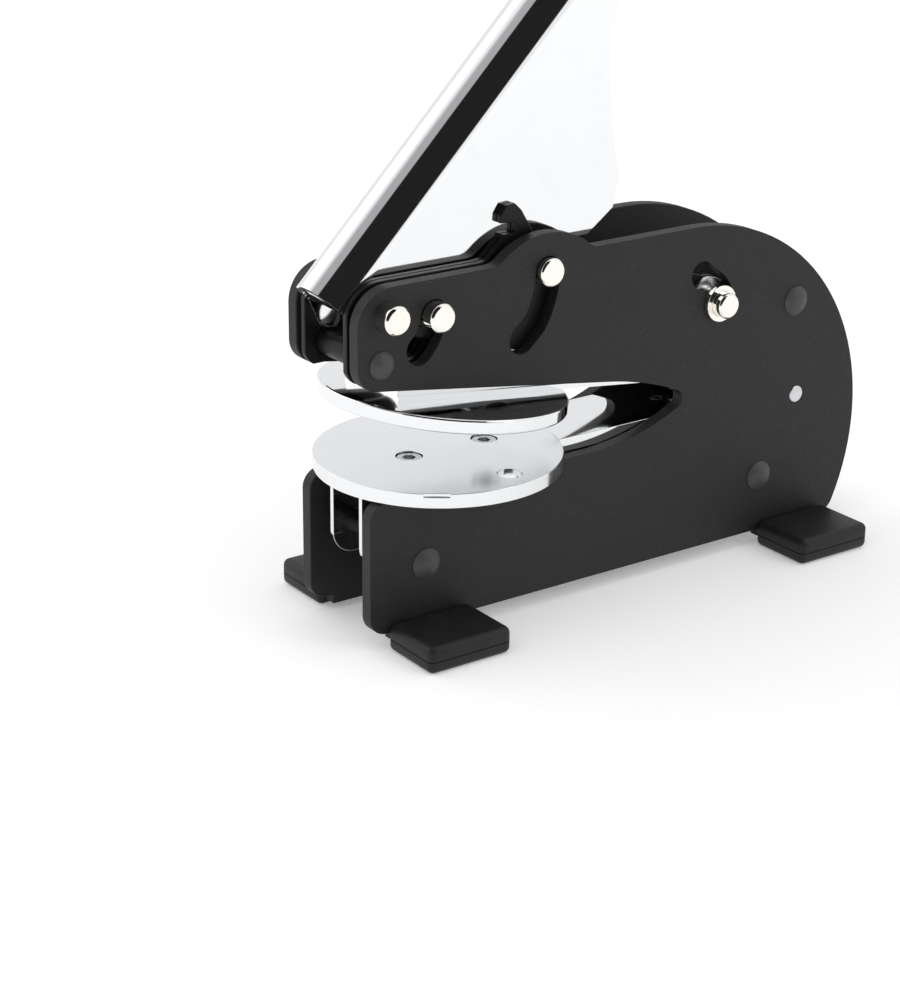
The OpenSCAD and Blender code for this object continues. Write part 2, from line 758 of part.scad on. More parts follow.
module stud_collars() {
    color("#b9bcc0") for (side = [-1, 1])
        side_sheet(side, hook_out, side_in - layer_gap) difference() {
            disc_at(rear_at, rear_stud_d / 2 + 2);
            disc_at(rear_at, rear_stud_d / 2);
        }
}

module upper_die_plate() {
    color("#d9dbdd") opened() die_blank(upper_die_z, -1);
}

// Hollow in the arm's top that the press lobes roll in
saddle_centre = circle_centre(lobe_on_arm(0), lobe_on_arm(0.5), lobe_on_arm(1));
saddle_r = norm(lobe_on_arm(0) - saddle_centre) + lobe_r + SLOT_PLAY;
step_in = 0.6;
knuckle_half = ear_in - 0.2;

module upper_die_arm() {
    step_z = upper_arm_z + upper_arm_t * 0.45;
    color("#d9dbdd") opened() difference() {
        union() {
            translate([-arm_half, arm_front_y, upper_arm_z])
                cube([2 * arm_half, hinge_at[0] - arm_front_y, step_z - upper_arm_z]);
            translate([step_in - arm_half, arm_front_y, step_z - 0.1])
                cube([2 * (arm_half - step_in), hinge_at[0] - arm_front_y, upper_arm_top - step_z + 0.1]);
            sheet(-knuckle_half, knuckle_half) disc_at(hinge_at, knuckle_r);
            sheet(-knuckle_half, knuckle_half) translate([hinge_at[0] - 3, hinge_at[1]])
                square([3, upper_arm_z - hinge_at[1] + 0.1]);
        }
        rod(hinge_at, hinge_pin_d / 2 + SEAT, -side_out, side_out, 0);
        translate([-side_out, saddle_centre[0], saddle_centre[1]]) rotate([0, 90, 0])
            cylinder(r = saddle_r, h = body_w, $fn = 96);
        for (y = die_screw_ys) translate([0, y, upper_arm_z - 1]) cylinder(r = screw_r, h = upper_arm_t + 2);
        for (y = bracket_rivet_ys) translate([0, y, upper_arm_z - 1]) cylinder(r = rivet_shank_r, h = upper_arm_t + 2);
    }
}

module upper_die_bracket() {
    lip_t = 1.2;
    color("#d9dbdd") opened() difference() {
        translate([-channel_half, bracket_y[0], upper_arm_top])
            cube([2 * channel_half, bracket_y[1] - bracket_y[0], bracket_t]);
        translate([lip_t - channel_half, bracket_y[0] - 1, upper_arm_top + lip_t])
            cube([2 * (channel_half - lip_t), bracket_y[1] - bracket_y[0] + 2, bracket_t]);
        translate([0, die_screw_ys[0], upper_arm_top - 1]) cylinder(r = screw_r, h = bracket_t + 2);
        for (y = bracket_rivet_ys) translate([0, y, upper_arm_top - 1]) cylinder(r = rivet_shank_r, h = bracket_t + 2);
    }
}

module upper_die_screws() {
    color("#b9bcc0") opened() for (i = [0, 1])
        translate([0, die_screw_ys[i], upper_die_z + screw_recess]) rotate([180, 0, 0])
            die_screw(die_t - screw_recess - screw_head_h + upper_arm_t - 0.2 + (i == 0 ? 1 : 0));
}

module upper_arm_rivets() {
    color("#b9bcc0") opened() for (y = bracket_rivet_ys) {
        translate([0, y, upper_arm_z]) cylinder(r = rivet_shank_r, h = upper_arm_t + 1.2);
        translate([0, y, upper_arm_top + 1.2]) cylinder(r = rivet_shank_r + 0.8, h = 0.8);
    }
}

// The middle of the whole object's footprint lies at the origin
front_y = on_lever(lever_start, spine_deep)[0];
module placed() {
    translate([0, -(front_y + body_l) / 2, 0]) children();
}

placed() right_side_plate();
placed() left_side_plate();
placed() right_hook_plate();
placed() left_liner_plate();
placed() front_upper_spacer();
placed() front_lower_spacer();
placed() rear_upper_spacer();
placed() rear_lower_spacer();
placed() domed_rivets();
placed() handle_pivot_pin();
placed() front_right_foot();
placed() front_left_foot();
placed() rear_right_foot();
placed() rear_left_foot();
placed() lower_die_channel();
placed() lower_die_arm();
placed() lower_die_plate();
placed() lower_die_screws();
placed() lower_arm_rivets();
placed() die_hinge_pin();
placed() die_return_spring();
placed() handle_lever();
placed() handle_grip();
placed() grip_pin();
placed() link_pin();
placed() right_press_plate();
placed() left_press_plate();
placed() guide_studs();
placed() press_bar();
placed() right_rear_link();
placed() left_rear_link();
placed() rear_studs();
placed() retaining_rings();
placed() stud_collars();
placed() upper_die_plate();
placed() upper_die_arm();
placed() upper_die_bracket();
placed() upper_die_screws();
placed() upper_arm_rivets();
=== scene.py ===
"""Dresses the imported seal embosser: finishes, softened edges, boots, spring, grip, floor, light and camera."""

import json
import math
from typing import NamedTuple

import bmesh
import bpy
from mathutils import Matrix, Vector


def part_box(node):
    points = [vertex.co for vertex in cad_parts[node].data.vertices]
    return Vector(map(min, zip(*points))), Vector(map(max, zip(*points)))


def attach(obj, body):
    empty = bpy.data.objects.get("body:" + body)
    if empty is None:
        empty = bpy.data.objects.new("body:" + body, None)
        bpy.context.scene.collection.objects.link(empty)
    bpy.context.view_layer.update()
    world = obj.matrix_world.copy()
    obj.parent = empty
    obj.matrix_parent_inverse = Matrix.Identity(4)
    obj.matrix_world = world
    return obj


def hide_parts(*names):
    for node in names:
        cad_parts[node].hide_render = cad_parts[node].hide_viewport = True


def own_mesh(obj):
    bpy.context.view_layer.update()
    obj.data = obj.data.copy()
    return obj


bl_info = {
    "name": "Seal Embosser Dressing",
    "version": (1, 0, 0),
    "blender": (4, 5, 0),
    "location": "View3D > Sidebar > Embosser",
    "description": "Finishes and fine shapes of a desk seal embosser around its fixed frame",
    "category": "Object",
}

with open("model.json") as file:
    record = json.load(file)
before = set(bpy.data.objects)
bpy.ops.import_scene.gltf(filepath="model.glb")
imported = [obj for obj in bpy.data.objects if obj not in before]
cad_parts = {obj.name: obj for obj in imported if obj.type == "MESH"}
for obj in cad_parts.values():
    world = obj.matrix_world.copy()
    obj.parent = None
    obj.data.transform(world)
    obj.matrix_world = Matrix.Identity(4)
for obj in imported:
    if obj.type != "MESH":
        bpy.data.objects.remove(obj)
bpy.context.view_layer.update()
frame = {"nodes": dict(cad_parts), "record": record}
MM = 0.001

WELD_WITHIN = 0.002 * MM
FLAT_WITHIN = math.radians(0.4)  # faces closer than this to one plane are joined
SHARP_FROM = math.radians(30.0)  # edges that are rounded
FACE_WEIGHT = 80  # how far large faces lead the shading of the rounded edges
LOWER_JAW_BACK = 2.7 * MM  # how far the lower jaw's front stands behind the upper jaw's
EYE_RAYS = ("Is Camera Ray", "Is Glossy Ray", "Is Transmission Ray")


class Lamp(NamedTuple):
    """A round area lamp that faces the embosser."""

    name: str
    at: tuple
    size: float  # metres
    power: float  # watts
    mirrored: bool  # shows in the metal


LAMPS = (
    Lamp("key", (0.1, -0.6, 1.1), 1.1, 1.2, False),
    Lamp("fill", (-0.9, -0.5, 0.7), 0.9, 1.5, True),
    Lamp("side", (0.9, 0.44, 0.65), 0.5, 1.3, True),
)
LAMPS_FACE = Vector((0, 0, 0.05))


class Card(NamedTuple):
    """A round patch of the room that the metal mirrors."""

    middle: tuple  # direction of its middle
    reach: float  # degrees from the middle to where it starts to fade
    edge: float  # degrees over which it fades


FAR_CARD = Card((-0.76, 0.54, 0.36), 12, 40)
GREY_CARD = Card((0.10, -0.60, 0.79), 14, 16)
DARK_CARD = Card((0.84, -0.31, 0.45), 43, 3)
WHITE = (1.0, 1.0, 1.0)
FAR_SHADE = (0.90, 0.90, 0.91)
GREY_SHADE = (0.45, 0.45, 0.46)


# ---------------------------------------------------------------- sizes and colours

def length(name, description, default):
    """A length that a user can change, in metres."""
    return bpy.props.FloatProperty(name=name, description=description, default=default, subtype="DISTANCE",
                                   unit="LENGTH", precision=5)


def colour(name, description, default):
    """A base colour that a user can change."""
    return bpy.props.FloatVectorProperty(name=name, description=description, default=default, subtype="COLOR",
                                         size=3, min=0.0, max=1.0)


def share(name, description, default):
    """A number from 0 to 1."""
    return bpy.props.FloatProperty(name=name, description=description, default=default, min=0.0, max=1.0,
                                   subtype="FACTOR")


def turn(name, description, default):
    """An angle in radians."""
    return bpy.props.FloatProperty(name=name, description=description, default=default, subtype="ANGLE",
                                   unit="ROTATION")


class EmbosserEdges(bpy.types.PropertyGroup):
    """Rounding of the edges and fine sizes of the boots and the spring."""

    plate_edge: length("Plate edge", "Rounding of the side plates' punched edges", 0.35 * MM)
    sheet_edge: length("Sheet edge", "Rounding of the thin sheet pieces' edges", 0.22 * MM)
    die_edge: length("Die edge", "Rounding of the die plates' rims", 0.45 * MM)
    lever_edge: length("Lever edge", "Rounding of the lever's sheet edges", 0.11 * MM)
    pin_edge: length("Pin edge", "Rounding of the pins' ends", 0.12 * MM)
    boot_edge: length("Boot edge", "Rounding of the rubber boots", 1.5 * MM)
    boot_seam: length("Boot seam", "Width of the mould seam round a boot", 0.22 * MM)
    boot_seam_depth: length("Boot seam depth", "Depth of the mould seam round a boot", 0.2 * MM)
    dome_rim: length("Dome rim", "Rounding of the side plates' rivet domes at their rim", 0.25 * MM)
    spring_wire: length("Spring wire", "Radius of the return spring's wire", 0.35 * MM)


class EmbosserColours(bpy.types.PropertyGroup):
    """Base colours of the finishes."""

    powder: colour("Powder coat", "Side plates", (0.0125, 0.0125, 0.0126))
    # Painted light: the rivet domes' base colour is about five times the powder coat's, so that the domes read
    # lighter than the plates.
    rivet: colour("Rivet", "Domes of the side plates' rivets", (0.058, 0.058, 0.059))
    black: colour("Black steel", "Links, hook plate and spacers", (0.004, 0.004, 0.0043))
    chrome: colour("Chrome", "Die plates, arms, channel and lever", (0.84, 0.85, 0.86))
    nickel: colour("Nickel", "Turned pins", (0.93, 0.91, 0.85))
    zinc: colour("Zinc", "Screws, bars and collars", (0.62, 0.63, 0.65))
    spring: colour("Spring steel", "Return spring", (0.30, 0.30, 0.32))
    rubber: colour("Rubber", "Feet", (0.0120, 0.0120, 0.0124))
    plastic: colour("Plastic", "Grip", (0.010, 0.010, 0.0105))
    floor: colour("Floor", "Plain studio floor", (0.93, 0.93, 0.93))


class EmbosserStage(bpy.types.PropertyGroup):
    """Camera and light."""

    camera_at: bpy.props.FloatVectorProperty(
        name="Camera", description="Place of the camera, from the front of the lower jaw", size=3,
        default=(0.3718, -0.2362, 0.2025), subtype="XYZ", unit="LENGTH", precision=4)
    yaw: turn("Yaw", "Turn of the view from +Y towards -X", math.radians(54.64))
    pitch: turn("Pitch", "Fall of the view below the horizon", math.radians(21.31))
    roll: turn("Roll", "Turn of the camera about its view", math.radians(0.54))
    lens: bpy.props.FloatProperty(name="Lens", description="Focal length in millimetres", default=84.24)
    shift: bpy.props.FloatVectorProperty(
        name="Shift", description="Shift of the picture, as a share of its longer side", size=2,
        default=(0.003, -0.006), precision=4)
    sky: share("Sky", "Brightness of the room", 0.80)
    floor_glow: share("Floor glow", "Light that the floor shows to the eye and in reflections", 0.25)
    dark_card: share("Dark card", "Brightness of the dark side of the room in reflections", 0.015)


# ---------------------------------------------------------------- shader expressions

class Wire:
    """A socket whose arithmetic adds Math nodes."""

    def __init__(self, board, socket):
        self.board = board
        self.socket = socket

    def _math(self, operation, *values):
        return self.board.add("ShaderNodeMath", {"operation": operation}, dict(enumerate(values)))

    def __add__(self, other):
        return self._math("ADD", self, other)

    __radd__ = __add__

    def __sub__(self, other):
        return self._math("SUBTRACT", self, other)

    def __rsub__(self, other):
        return self._math("SUBTRACT", other, self)

    def __mul__(self, other):
        return self._math("MULTIPLY", self, other)

    __rmul__ = __mul__

    def above(self, edge, width):
        """0 below edge, 1 above edge + width, and smooth between."""
        return self.board.add("ShaderNodeMapRange", {"interpolation_type": "SMOOTHSTEP"},
                              {"Value": self, "From Min": edge, "From Max": edge + width})


class Board:
    """A node tree to which nodes are added by type, settings and socket values."""

    def __init__(self, tree):
        self.tree = tree
        tree.nodes.clear()

    def raw(self, kind, settings=None, values=None):
        """Adds a node, sets its settings first and then its sockets."""
        node = self.tree.nodes.new(kind)
        for name, value in (settings or {}).items():
            setattr(node, name, value)
        for name, value in (values or {}).items():
            self._set(node.inputs[name], value)
        return node

    def add(self, kind, settings=None, values=None, output=0):
        """As raw, and gives the wire of one output."""
        return Wire(self, self.raw(kind, settings, values).outputs[output])

    def _set(self, socket, value):
        if isinstance(value, Wire):
            self.tree.links.new(value.socket, socket)
        elif socket.type == "RGBA" and len(value) == 3:
            socket.default_value = (*value, 1.0)
        else:
            socket.default_value = value

    def place(self):
        """Coordinates that stay with the object as it moves."""
        return self.add("ShaderNodeTexCoord", output="Object")

    def noise(self, size, detail=2.0, roughness=0.5):
        """Noise whose lumps are about size metres across, from 0 to 1."""
        return self.add("ShaderNodeTexNoise", {"noise_dimensions": "3D"},
                        {"Vector": self.place(), "Scale": 1.0 / size, "Detail": detail, "Roughness": roughness})

    def specks(self, size):
        """Distance from scattered points, for grains of about size metres."""
        return self.add("ShaderNodeTexVoronoi", {"feature": "F1"}, {"Vector": self.place(), "Scale": 1.0 / size})

    def blend(self, amount, first, second):
        """A colour between two others."""
        node = self.raw("ShaderNodeMix", {"data_type": "RGBA"}, {"Factor": amount})
        self._set(node.inputs[6], first)
        self._set(node.inputs[7], second)
        return Wire(self, node.outputs[2])

    def tones(self, amount, shade, low, high):
        """A colour from low to high times shade."""
        return self.blend(amount, scaled(shade, low), scaled(shade, high))

    def relief(self, height, depth, strength=1.0):
        """A bumped normal, depth in metres."""
        return self.add("ShaderNodeBump", None, {"Height": height, "Distance": depth, "Strength": strength})

    def finish(self, **values):
        """A Principled surface from its sockets' names, with _ for each space."""
        shader = self.add("ShaderNodeBsdfPrincipled", None, {k.replace("_", " "): v for k, v in values.items()})
        self.raw("ShaderNodeOutputMaterial", None, {"Surface": shader})


def chosen(board, rays, plain, other):
    """A shader that shows other to those kinds of ray, and plain to the rest."""
    path = board.raw("ShaderNodeLightPath")
    looks = sum(Wire(board, path.outputs[kind]) for kind in rays)
    return board.add("ShaderNodeMixShader", None, {0: looks, 1: plain, 2: other})


def material(build):
    """The material that build describes, made once."""
    name = "finish_" + build.__name__
    found = bpy.data.materials.get(name)
    if found is None:
        found = bpy.data.materials.new(name)
        found.use_nodes = True
        build(Board(found.node_tree), bpy.context.scene.embosser_colours)
    return found


def scaled(shade, factor):
    """A lighter or darker copy of a colour."""
    return tuple(min(1.0, part * factor) for part in shade)


def powder_coat(board, colours):
    """Fine textured powder coat with lighter grains and slow changes of gloss."""
    grain = board.noise(size=0.5 * MM, detail=3.0, roughness=0.6)
    patches = board.noise(size=9 * MM)
    sparse = board.noise(size=3.0 * MM, detail=3.0).above(edge=0.44, width=0.2)
    specks = (1.0 - (board.specks(size=0.8 * MM) + grain * 0.22).above(edge=0.20, width=0.16)) * sparse
    shade = board.tones(patches, colours.powder, low=0.84, high=1.2)
    shade = board.blend(specks * 0.5, shade, scaled(colours.powder, 3.2))
    board.finish(Base_Color=shade, Roughness=0.48 + grain * 0.16 - specks * 0.14, Specular_IOR_Level=0.36,
                 Normal=board.relief(grain + specks * 0.5, depth=0.07 * MM))


def rivet_coat(board, colours):
    """The powder coat as it flows out smooth over a rivet's dome, with a base colour about five times as light as
    the plates': painted light that stands in for the domes' highlight.
    """
    flow = board.noise(size=1.6 * MM)
    board.finish(Base_Color=board.tones(flow, colours.rivet, low=0.85, high=1.15), Roughness=0.40 + flow * 0.1,
                 Specular_IOR_Level=0.32, Normal=board.relief(flow, depth=0.02 * MM, strength=0.5))


def black_steel(board, colours):
    """Smooth black sheet steel, slightly worn."""
    rub = board.noise(size=4 * MM, detail=4.0, roughness=0.6)
    board.finish(Base_Color=board.tones(rub.above(edge=0.55, width=0.3), colours.black, low=1.0, high=1.8),
                 Roughness=0.34 + rub * 0.18, Specular_IOR_Level=0.26,
                 Normal=board.relief(board.noise(size=0.7 * MM), depth=0.012 * MM))


def chrome_plate(board, colours):
    """Polished chrome with faint wiping marks and a very slight waviness of the sheet."""
    wiping = board.noise(size=6 * MM, detail=5.0, roughness=0.62)
    waves = board.noise(size=16 * MM, detail=1.0)
    board.finish(Base_Color=board.tones(wiping.above(edge=0.45, width=0.4), colours.chrome, low=1.0, high=0.965),
                 Metallic=1.0, Roughness=0.035 + wiping * 0.05,
                 Normal=board.relief(waves, depth=0.02 * MM, strength=0.5))


def ground_chrome(board, colours):
    """The lower die plate's plating, duller than the rest, so that it mirrors only softly."""
    cloud = board.noise(size=9 * MM, detail=3.0)
    waves = board.noise(size=12 * MM, detail=1.0)
    board.finish(Base_Color=board.tones(cloud, colours.chrome, low=0.97, high=1.02), Metallic=1.0,
                 Roughness=0.09 + cloud * 0.12, Normal=board.relief(waves, depth=0.02 * MM, strength=0.5))


def nickel_pin(board, colours):
    """Turned and plated pin ends."""
    rub = board.noise(size=2.2 * MM, detail=4.0, roughness=0.6)
    turning = board.noise(size=0.9 * MM)
    board.finish(Base_Color=board.tones(rub, colours.nickel, low=0.95, high=1.0), Metallic=1.0,
                 Roughness=0.05 + rub * 0.08, Normal=board.relief(turning, depth=0.004 * MM, strength=0.5))


def zinc_plate(board, colours):
    """Zinc-plated small parts."""
    cloud = board.noise(size=1.8 * MM, detail=4.0, roughness=0.6)
    board.finish(Base_Color=board.tones(cloud, colours.zinc, low=0.8, high=1.15), Metallic=1.0,
                 Roughness=0.2 + cloud * 0.15, Normal=board.relief(cloud, depth=0.01 * MM))


def spring_steel(board, colours):
    """Oiled spring wire."""
    streaks = board.noise(size=1.2 * MM, detail=3.0)
    board.finish(Base_Color=board.tones(streaks, colours.spring, low=0.7, high=1.2), Metallic=1.0,
                 Roughness=0.25 + streaks * 0.15)


def foot_rubber(board, colours):
    """Soft black rubber with a faint bloom."""
    bloom = board.noise(size=5 * MM, detail=5.0, roughness=0.65)
    grain = board.noise(size=0.3 * MM)
    board.finish(Base_Color=board.tones(bloom.above(edge=0.42, width=0.4), colours.rubber, low=1.0, high=1.7),
                 Roughness=0.4 + bloom * 0.14, Specular_IOR_Level=0.3,
                 Normal=board.relief(grain, depth=0.015 * MM, strength=0.6))


def grip_plastic(board, colours):
    """Moulded black plastic with a spark-eroded grain."""
    grain = board.specks(size=0.45 * MM)
    bloom = board.noise(size=7 * MM, detail=3.0)
    board.finish(Base_Color=board.tones(bloom, colours.plastic, low=0.85, high=1.25),
                 Roughness=0.42 + bloom * 0.14, Specular_IOR_Level=0.45,
                 Normal=board.relief(grain, depth=0.03 * MM, strength=0.7))


def studio_floor(board, colours):
    """Plain pale floor, with a little light of its own that only the eye and the metal see."""
    matt = {"Base Color": board.tones(board.noise(size=0.4), colours.floor, low=0.99, high=1.0),
            "Roughness": 0.9, "Specular IOR Level": 0.1}
    glow = {"Emission Color": colours.floor,
            "Emission Strength": bpy.context.scene.embosser_stage.floor_glow}
    plain = board.add("ShaderNodeBsdfPrincipled", None, matt)
    pale = board.add("ShaderNodeBsdfPrincipled", None, {**matt, **glow})
    board.raw("ShaderNodeOutputMaterial", None, {"Surface": chosen(board, EYE_RAYS, plain, pale)})


FINISHES = {
    "powder_coat": powder_coat, "black_steel": black_steel, "chrome_plate": chrome_plate,
    "nickel_pin": nickel_pin, "bright_steel": zinc_plate, "spring_steel": spring_steel,
    "foot_rubber": foot_rubber, "grip_plastic": grip_plastic,
}
SLOT_OF = {part["node"]: part["material_slot"] for part in frame["record"]["subparts"]}
BODY_OF = {node: body for body, nodes in frame["record"]["behaviour"]["bodies"].items() for node in nodes}


# ---------------------------------------------------------------- mesh helpers

def finished(piece, nodes, coat=None):
    """Gives a piece its material and its body, and hides the CAD nodes that it stands for."""
    slot = SLOT_OF[nodes[0]]
    piece.data.materials.clear()
    piece.data.materials.append(material(coat or FINISHES[slot]))
    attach(piece, BODY_OF[nodes[0]])
    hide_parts(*nodes)
    return piece


def piece_from(build, name):
    """An object from a filled bmesh, which is freed."""
    bmesh.ops.recalc_face_normals(build, faces=build.faces)
    mesh = bpy.data.meshes.new(name)
    build.to_mesh(mesh)
    build.free()
    piece = bpy.data.objects.new(name, mesh)
    bpy.context.scene.collection.objects.link(piece)
    return piece


def settle(piece):
    """Applies the piece's modifiers to its mesh."""
    ready = piece.evaluated_get(bpy.context.evaluated_depsgraph_get())
    mesh = bpy.data.meshes.new_from_object(ready)
    piece.modifiers.clear()
    piece.data = mesh


def smooth(piece, angle):
    """Smooth shading that keeps edges sharper than angle degrees."""
    piece.data.shade_smooth()
    piece.data.set_sharp_from_angle(angle=math.radians(angle))
    return piece


def copied(node):
    """A bmesh of a CAD node with its flat faces whole."""
    build = bmesh.new()
    build.from_mesh(frame["nodes"][node].data)
    bmesh.ops.remove_doubles(build, verts=build.verts, dist=WELD_WITHIN)
    bmesh.ops.dissolve_limit(build, angle_limit=FLAT_WITHIN, verts=build.verts, edges=build.edges)
    return build


def groove(build, axis, at, width, depth, belongs):
    """Cuts a groove round a shape, at a place along axis, into the faces for which belongs is true."""
    for side in (-0.5, 0.5):
        bmesh.ops.bisect_plane(build, geom=build.verts[:] + build.edges[:] + build.faces[:],
                               plane_co=axis * (at + side * width), plane_no=axis)
    ring = [face for face in build.faces
            if abs(face.calc_center_median().dot(axis) - at) < width / 4 and belongs(face)]
    bmesh.ops.inset_region(build, faces=ring, thickness=0.0, depth=-depth, use_even_offset=True)


def softened(node, width, segments=2, coat=None, build=None, miter="MITER_ARC"):
    """A copy of a CAD node, or build, with its sharp edges rounded by width, which stands for the node."""
    piece = piece_from(build or copied(node), "soft_" + node)
    bevel = piece.modifiers.new("edges", "BEVEL")
    bevel.width = width
    bevel.segments = segments
    bevel.limit_method = "ANGLE"
    bevel.angle_limit = SHARP_FROM
    bevel.miter_outer = miter
    bevel.use_clamp_overlap = True
    smooth(piece, 50.0)
    weights = piece.modifiers.new("weights", "WEIGHTED_NORMAL")
    weights.keep_sharp = True
    weights.weight = FACE_WEIGHT
    settle(piece)
    return finished(piece, [node], coat)


class Dresser:
    """What every piece's operator shares."""

    bl_options = {"REGISTER", "UNDO"}

    @property
    def edges(self):
        return bpy.context.scene.embosser_edges

    def soften(self, width, *nodes, segments=2):
        for node in nodes:
            softened(node, width, segments)
        return {"FINISHED"}


# ---------------------------------------------------------------- pieces

class EMBOSSER_OT_side_plates(Dresser, bpy.types.Operator):
    """Side plates with rounded punched edges and a fine textured powder coat."""

    bl_idname = "embosser.side_plates"
    bl_label = "Side plates"

    def execute(self, context):
        return self.soften(self.edges.plate_edge, "right_side_plate", "left_side_plate", segments=3)


class EMBOSSER_OT_liner_plates(Dresser, bpy.types.Operator):
    """Hook plate and liner plate inside the upper jaw."""

    bl_idname = "embosser.liner_plates"
    bl_label = "Hook and liner plates"

    def execute(self, context):
        return self.soften(self.edges.sheet_edge, "right_hook_plate", "left_liner_plate")


class EMBOSSER_OT_spacers(Dresser, bpy.types.Operator):
    """Spacers between the side plates, and the die hinge pin."""

    bl_idname = "embosser.spacers"
    bl_label = "Spacers"

    def execute(self, context):
        return self.soften(self.edges.pin_edge, "front_upper_spacer", "front_lower_spacer", "rear_upper_spacer",
                           "rear_lower_spacer", "die_hinge_pin")


class EMBOSSER_OT_rivets(Dresser, bpy.types.Operator):
    """Domed rivets of the side plates and the small rivets of the die arms."""

    bl_idname = "embosser.rivets"
    bl_label = "Rivets"

    def execute(self, context):
        # The domes get the lighter rivet coat, whose base colour is painted light.
        softened("domed_rivets", self.edges.dome_rim, 3, coat=rivet_coat)
        return self.soften(self.edges.pin_edge, "lower_arm_rivets", "upper_arm_rivets")


class EMBOSSER_OT_pins(Dresser, bpy.types.Operator):
    """Turned pins, studs, rings and collars."""

    bl_idname = "embosser.pins"
    bl_label = "Pins and studs"

    def execute(self, context):
        return self.soften(self.edges.pin_edge, "handle_pivot_pin", "link_pin", "guide_studs", "rear_studs",
                           "retaining_rings", "stud_collars", "press_bar", "grip_pin", segments=3)


class EMBOSSER_OT_links(Dresser, bpy.types.Operator):
    """Press plates and rear links."""

    bl_idname = "embosser.links"
    bl_label = "Links"

    def execute(self, context):
        return self.soften(self.edges.sheet_edge, "right_press_plate", "left_press_plate", "right_rear_link",
                           "left_rear_link")


class EMBOSSER_OT_feet(Dresser, bpy.types.Operator):
    """Rubber boots over the side plates' tabs, with a mould seam near half height."""

    bl_idname = "embosser.feet"
    bl_label = "Feet"

    seam_at: share("Seam height", "Height of the mould seam as a share of the boot's", 0.46)
    rounds: bpy.props.IntProperty(name="Rounds", description="Faces across a rounded edge", default=5, min=1)

    def execute(self, context):
        for node in ("front_right_foot", "front_left_foot", "rear_right_foot", "rear_left_foot"):
            self.boot(node)
        return {"FINISHED"}

    def boot(self, node):
        """One boot: a block with rounded edges and a seam round its sides."""
        low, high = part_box(node)
        build = bmesh.new()
        bmesh.ops.create_cube(build, size=1.0, matrix=Matrix.Translation((low + high) / 2)
                              @ Matrix.Diagonal((*(high - low), 1.0)))
        bmesh.ops.bevel(build, geom=build.edges[:], offset=self.edges.boot_edge, segments=self.rounds,
                        profile=0.5, affect="EDGES")
        groove(build, Vector((0, 0, 1)), low.z + (high.z - low.z) * self.seam_at, self.edges.boot_seam,
               self.edges.boot_seam_depth, lambda face: abs(face.normal.z) < 0.5)
        finished(smooth(piece_from(build, "boot_" + node), 35.0), [node])


class EMBOSSER_OT_lower_die(Dresser, bpy.types.Operator):
    """Channel, arm and die plate of the lower jaw."""

    bl_idname = "embosser.lower_die"
    bl_label = "Lower die"

    def execute(self, context):
        self.soften(self.edges.sheet_edge, "lower_die_channel", "lower_die_arm", segments=3)
        softened("lower_die_plate", self.edges.die_edge, 3, coat=ground_chrome)
        return {"FINISHED"}


class EMBOSSER_OT_upper_die(Dresser, bpy.types.Operator):
    """Die plate, arm and bracket of the upper jaw."""

    bl_idname = "embosser.upper_die"
    bl_label = "Upper die"

    def execute(self, context):
        self.soften(self.edges.sheet_edge, "upper_die_arm", "upper_die_bracket")
        return self.soften(self.edges.die_edge, "upper_die_plate", segments=3)


class EMBOSSER_OT_screws(Dresser, bpy.types.Operator):
    """Screws in the die plates."""

    bl_idname = "embosser.screws"
    bl_label = "Die screws"

    def execute(self, context):
        return self.soften(self.edges.pin_edge, "lower_die_screws", "upper_die_screws")


class EMBOSSER_OT_spring(Dresser, bpy.types.Operator):
    """Return spring between the arms, as one smooth wire."""

    bl_idname = "embosser.spring"
    bl_label = "Return spring"

    turns: bpy.props.FloatProperty(name="Turns", description="Number of turns of the wire", default=3.5)
    steps: bpy.props.IntProperty(name="Steps", description="Points along one turn", default=24)
    closed: share("Closed", "Share of its height that the spring keeps between the closed dies", 0.58)

    def execute(self, context):
        low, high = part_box("die_return_spring")
        wire = self.edges.spring_wire
        middle = (low + high) / 2
        radius = (high.x - low.x) / 2 - wire
        count = int(self.turns * self.steps)
        curve = bpy.data.curves.new("spring_wire", "CURVE")
        curve.dimensions = "3D"
        curve.bevel_depth = wire
        curve.bevel_resolution = 3
        curve.use_fill_caps = True
        spline = curve.splines.new("POLY")
        spline.points.add(count)
        for index, point in enumerate(spline.points):
            angle = 2 * math.pi * index / self.steps
            rise = (high.z - low.z - 2 * wire) * index / count
            point.co = (middle.x + radius * math.cos(angle), middle.y + radius * math.sin(angle),
                        low.z + wire + rise, 1.0)
        drawn = bpy.data.objects.new("spring_curve", curve)
        bpy.context.scene.collection.objects.link(drawn)
        mesh = bpy.data.meshes.new_from_object(drawn.evaluated_get(context.evaluated_depsgraph_get()))
        bpy.data.objects.remove(drawn)
        piece = bpy.data.objects.new("return_spring_wire", mesh)
        bpy.context.scene.collection.objects.link(piece)
        finished(smooth(piece, 60.0), ["die_return_spring"])
        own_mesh(piece)
        return {"FINISHED"}


class EMBOSSER_OT_lever(Dresser, bpy.types.Operator):
    """Pressed lever, with the finest rounding, because its crown is cut at a slant."""

    bl_idname = "embosser.lever"
    bl_label = "Lever"

    def execute(self, context):
        softened("handle_lever", self.edges.lever_edge, 1, miter="MITER_SHARP")
        return {"FINISHED"}


